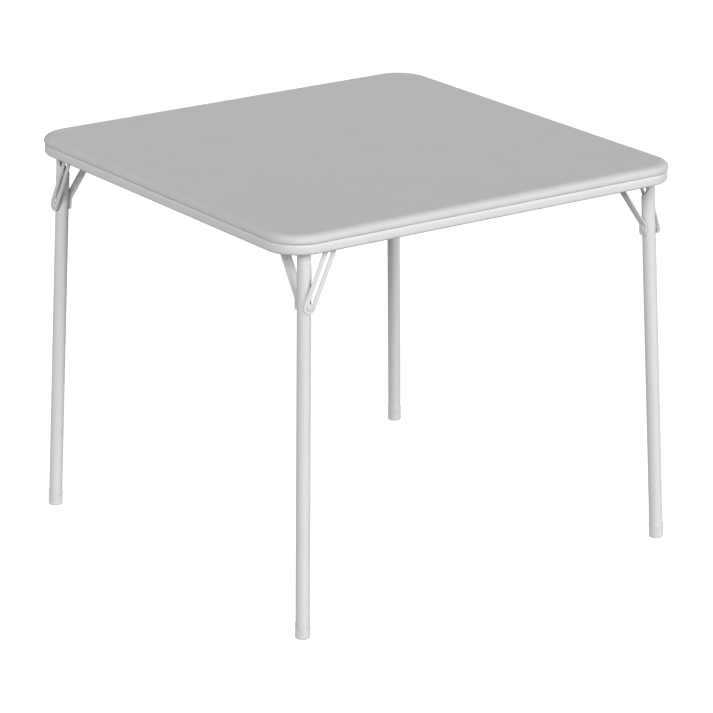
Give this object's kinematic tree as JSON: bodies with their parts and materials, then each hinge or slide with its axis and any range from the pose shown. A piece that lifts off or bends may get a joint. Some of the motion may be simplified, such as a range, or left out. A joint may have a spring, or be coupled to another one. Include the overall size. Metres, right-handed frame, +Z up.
{
  "type": "folding card table",
  "caption": "Square padded folding card table on a rolled steel rail, with round tube legs that fold under the top on braced hinges with slotted links.",
  "frame": {"origin": "on the floor, under the middle of the table", "axes": "+Z up; X and Y along the table's sides, with the nearest corner of the picture at low X and low Y"},
  "size_m": [0.869, 0.869, 0.736],
  "materials": {
    "cover_vinyl": "satin vinyl with a fine grain",
    "foam": "open foam",
    "hardboard": "plain pressed board",
    "painted_steel": "smooth baked paint",
    "plated_steel": "zinc plate",
    "foot_plastic": "moulded plastic"
  },
  "bodies": {
    "table_top": {"vinyl_cover": "cover_vinyl", "foam_pad": "foam", "top_panel": "hardboard", "apron_rail": "painted_steel", "panel_screws": "plated_steel", "cover_staples": "plated_steel", "bracket_rivets": "plated_steel", "hinge_bracket_front": "painted_steel", "leg_pivot_rivet_front": "plated_steel", "brace_pivot_rivet_front": "plated_steel", "link_pivot_rivet_front": "plated_steel", "hinge_bracket_right": "painted_steel", "leg_pivot_rivet_right": "plated_steel", "brace_pivot_rivet_right": "plated_steel", "link_pivot_rivet_right": "plated_steel", "hinge_bracket_back": "painted_steel", "leg_pivot_rivet_back": "plated_steel", "brace_pivot_rivet_back": "plated_steel", "link_pivot_rivet_back": "plated_steel", "hinge_bracket_left": "painted_steel", "leg_pivot_rivet_left": "plated_steel", "brace_pivot_rivet_left": "plated_steel", "link_pivot_rivet_left": "plated_steel"},
    "leg_front": {"leg_tube_front": "painted_steel", "foot_cap_front": "foot_plastic", "brace_strap_front": "painted_steel", "link_spacer_front": "plated_steel", "brace_rivet_front": "plated_steel"},
    "link_front": {"slotted_link_front": "painted_steel"},
    "slider_front": {"slot_rivet_front": "plated_steel"},
    "leg_right": {"leg_tube_right": "painted_steel", "foot_cap_right": "foot_plastic", "brace_strap_right": "painted_steel", "link_spacer_right": "plated_steel", "brace_rivet_right": "plated_steel"},
    "link_right": {"slotted_link_right": "painted_steel"},
    "slider_right": {"slot_rivet_right": "plated_steel"},
    "leg_back": {"leg_tube_back": "painted_steel", "foot_cap_back": "foot_plastic", "brace_strap_back": "painted_steel", "link_spacer_back": "plated_steel", "brace_rivet_back": "plated_steel"},
    "link_back": {"slotted_link_back": "painted_steel"},
    "slider_back": {"slot_rivet_back": "plated_steel"},
    "leg_left": {"leg_tube_left": "painted_steel", "foot_cap_left": "foot_plastic", "brace_strap_left": "painted_steel", "link_spacer_left": "plated_steel", "brace_rivet_left": "plated_steel"},
    "link_left": {"slotted_link_left": "painted_steel"},
    "slider_left": {"slot_rivet_left": "plated_steel"}
  },
  "joints": [
    {"name": "leg_fold_front", "type": "hinge", "parent": "table_top", "child": "leg_front", "pos_m": [-0.37439, -0.39662, 0.704], "axis": [0, -0.9994, 0.0349], "range_deg": [0, 91.96]},
    {"name": "link_swing_front", "type": "hinge", "parent": "table_top", "child": "link_front", "pos_m": [-0.32889, -0.39662, 0.704], "axis": [0, -0.9994, 0.0349], "range_deg": [0, 116.09]},
    {"name": "rivet_slide_front", "type": "slide", "parent": "link_front", "child": "slider_front", "axis": [0.4396, 0.0313, 0.8976], "range_m": [0, 0.0568]},
    {"name": "leg_fold_right", "type": "hinge", "parent": "table_top", "child": "leg_right", "pos_m": [0.39662, -0.37439, 0.704], "axis": [0.9994, 0, 0.0349], "range_deg": [0, 91.96]},
    {"name": "link_swing_right", "type": "hinge", "parent": "table_top", "child": "link_right", "pos_m": [0.39662, -0.32889, 0.704], "axis": [0.9994, 0, 0.0349], "range_deg": [0, 116.09]},
    {"name": "rivet_slide_right", "type": "slide", "parent": "link_right", "child": "slider_right", "axis": [-0.0313, 0.4396, 0.8976], "range_m": [0, 0.0568]},
    {"name": "leg_fold_back", "type": "hinge", "parent": "table_top", "child": "leg_back", "pos_m": [0.37439, 0.39662, 0.704], "axis": [0, 0.9994, 0.0349], "range_deg": [0, 91.96]},
    {"name": "link_swing_back", "type": "hinge", "parent": "table_top", "child": "link_back", "pos_m": [0.32889, 0.39662, 0.704], "axis": [0, 0.9994, 0.0349], "range_deg": [0, 116.09]},
    {"name": "rivet_slide_back", "type": "slide", "parent": "link_back", "child": "slider_back", "axis": [-0.4396, -0.0313, 0.8976], "range_m": [0, 0.0568]},
    {"name": "leg_fold_left", "type": "hinge", "parent": "table_top", "child": "leg_left", "pos_m": [-0.39662, 0.37439, 0.704], "axis": [-0.9994, 0, 0.0349], "range_deg": [0, 91.96]},
    {"name": "link_swing_left", "type": "hinge", "parent": "table_top", "child": "link_left", "pos_m": [-0.39662, 0.32889, 0.704], "axis": [-0.9994, 0, 0.0349], "range_deg": [0, 116.09]},
    {"name": "rivet_slide_left", "type": "slide", "parent": "link_left", "child": "slider_left", "axis": [0.0313, -0.4396, 0.8976], "range_m": [0, 0.0568]}
  ],
  "couplings": [
    {"joint": "link_swing_front", "follows": "leg_fold_front", "ratio": 1.2623},
    {"joint": "rivet_slide_front", "follows": "leg_fold_front", "m_per_rad": 0.035372},
    {"joint": "link_swing_right", "follows": "leg_fold_right", "ratio": 1.2623},
    {"joint": "rivet_slide_right", "follows": "leg_fold_right", "m_per_rad": 0.035372},
    {"joint": "link_swing_back", "follows": "leg_fold_back", "ratio": 1.2623},
    {"joint": "rivet_slide_back", "follows": "leg_fold_back", "m_per_rad": 0.035372},
    {"joint": "link_swing_left", "follows": "leg_fold_left", "ratio": 1.2623},
    {"joint": "rivet_slide_left", "follows": "leg_fold_left", "m_per_rad": 0.035372}
  ]
}
